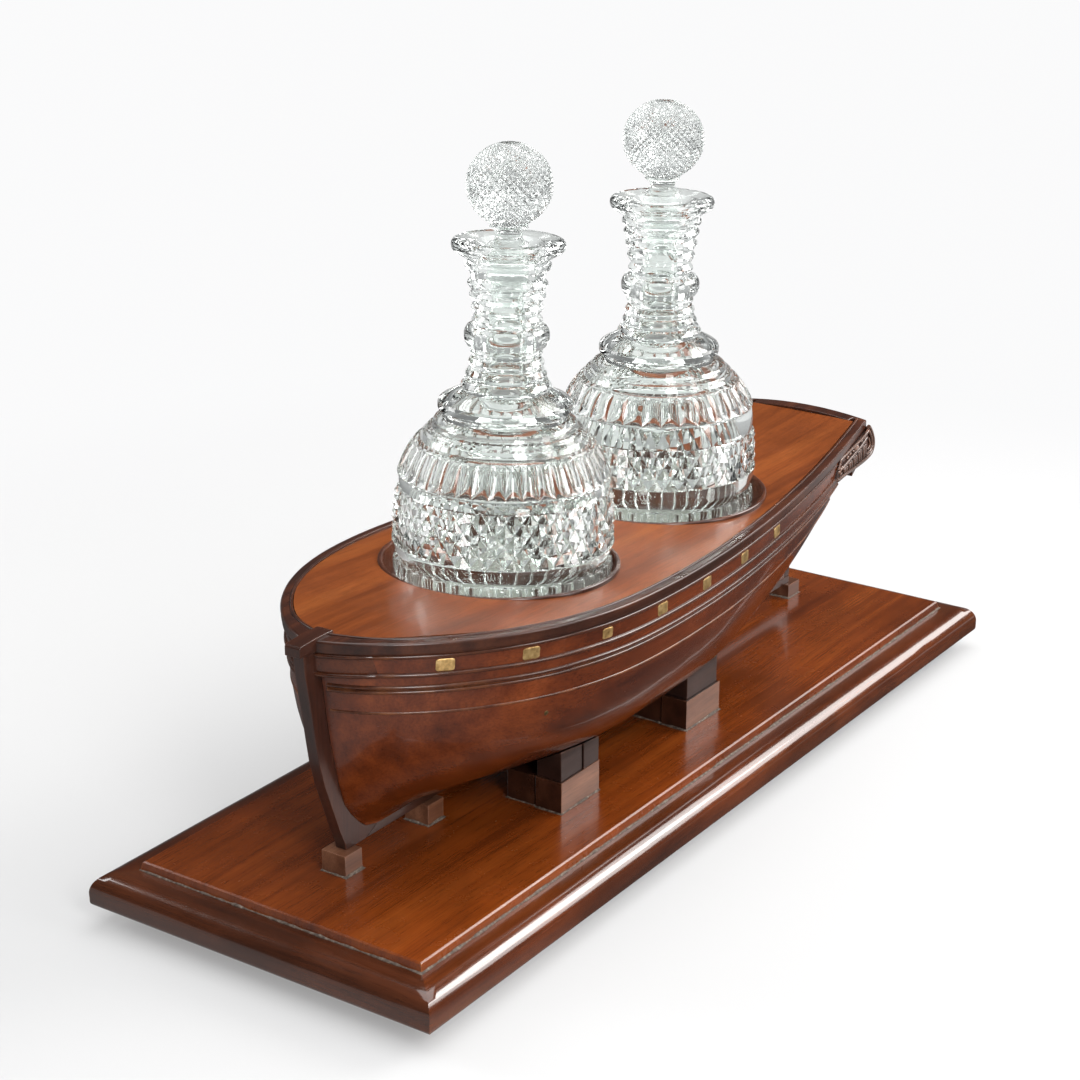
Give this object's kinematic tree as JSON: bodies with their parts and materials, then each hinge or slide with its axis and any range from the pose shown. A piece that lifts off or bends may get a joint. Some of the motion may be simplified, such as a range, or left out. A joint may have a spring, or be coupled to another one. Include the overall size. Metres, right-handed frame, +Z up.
{
  "type": "decanter stand",
  "caption": "Model ship's hull in mahogany on keel blocks and a moulded plinth, with deck wells holding cut-glass decanters with ball stoppers.",
  "frame": {"origin": "on the floor under the middle of the plinth, at the bottom of the bun feet", "axes": "+X along the hull from bow to stern, +Y to the starboard side (port is -Y), +Z up"},
  "size_m": [0.625, 0.228, 0.3995],
  "materials": {
    "mahogany": "french-polished mahogany, glossy, with worn and darkened edges",
    "dark_mahogany": "dark waxed and polished mahogany",
    "deck_wood": "french-polished, lighter and redder mahogany",
    "brass": "old brass, dulled",
    "baize": "green wool baize",
    "cut_glass": "clear cut and polished lead glass"
  },
  "bodies": {
    "stand": {"plinth_board": "mahogany", "plinth_panel": "mahogany", "foot_bow_port": "dark_mahogany", "foot_bow_starboard": "dark_mahogany", "foot_stern_port": "dark_mahogany", "foot_stern_starboard": "dark_mahogany", "keel_block_bow": "mahogany", "keel_block_fore": "mahogany", "keel_block_stern": "mahogany", "bow_chock_base_port": "mahogany", "bow_chock_base_starboard": "mahogany", "bow_chock_inner_port": "dark_mahogany", "bow_chock_inner_starboard": "dark_mahogany", "bow_chock_caps_port": "dark_mahogany", "bow_chock_caps_starboard": "dark_mahogany", "stern_chock_base_port": "mahogany", "stern_chock_base_starboard": "mahogany", "stern_chock_inner_port": "dark_mahogany", "stern_chock_inner_starboard": "dark_mahogany", "stern_chock_cap_port": "dark_mahogany", "stern_chock_cap_starboard": "dark_mahogany", "keel": "dark_mahogany", "stem_post": "dark_mahogany", "stern_post": "dark_mahogany", "stem_head": "dark_mahogany", "hull_port": "mahogany", "hull_starboard": "mahogany", "counter_block": "dark_mahogany", "stern_board": "dark_mahogany", "quarter_gallery_port": "dark_mahogany", "quarter_gallery_starboard": "dark_mahogany", "deck": "deck_wood", "deck_beam_fore": "dark_mahogany", "deck_beam_middle": "dark_mahogany", "deck_beam_aft": "dark_mahogany", "well_bearer_fore": "dark_mahogany", "well_bearer_aft": "dark_mahogany", "well_cup_fore": "mahogany", "well_cup_aft": "mahogany", "baize_fore": "baize", "baize_aft": "baize", "cap_rail_port": "dark_mahogany", "cap_rail_starboard": "dark_mahogany", "taffrail": "dark_mahogany", "sheer_bead_port": "dark_mahogany", "sheer_bead_starboard": "dark_mahogany", "plate_bead_port": "dark_mahogany", "plate_bead_starboard": "dark_mahogany", "wale_bead_port": "dark_mahogany", "wale_bead_starboard": "dark_mahogany", "strake_port": "dark_mahogany", "strake_starboard": "dark_mahogany", "brass_plates": "brass", "brass_pins": "brass", "keel_screws": "brass", "chock_screws": "brass"},
    "decanter_fore_glass": {"decanter_fore": "cut_glass"},
    "decanter_aft_glass": {"decanter_aft": "cut_glass"},
    "stopper_fore_glass": {"stopper_fore": "cut_glass"},
    "stopper_aft_glass": {"stopper_aft": "cut_glass"}
  },
  "joints": [
    {"name": "decanter_fore_lift", "type": "slide", "parent": "stand", "child": "decanter_fore_glass", "axis": [0.0401, 0, 0.9992], "range_m": [0, 0.06]},
    {"name": "decanter_aft_lift", "type": "slide", "parent": "stand", "child": "decanter_aft_glass", "axis": [0.0087, 0, 1], "range_m": [0, 0.06]},
    {"name": "stopper_fore_pull", "type": "slide", "parent": "decanter_fore_glass", "child": "stopper_fore_glass", "axis": [0.0401, 0, 0.9992], "range_m": [0, 0.04]},
    {"name": "stopper_aft_pull", "type": "slide", "parent": "decanter_aft_glass", "child": "stopper_aft_glass", "axis": [0.0087, 0, 1], "range_m": [0, 0.04]}
  ]
}
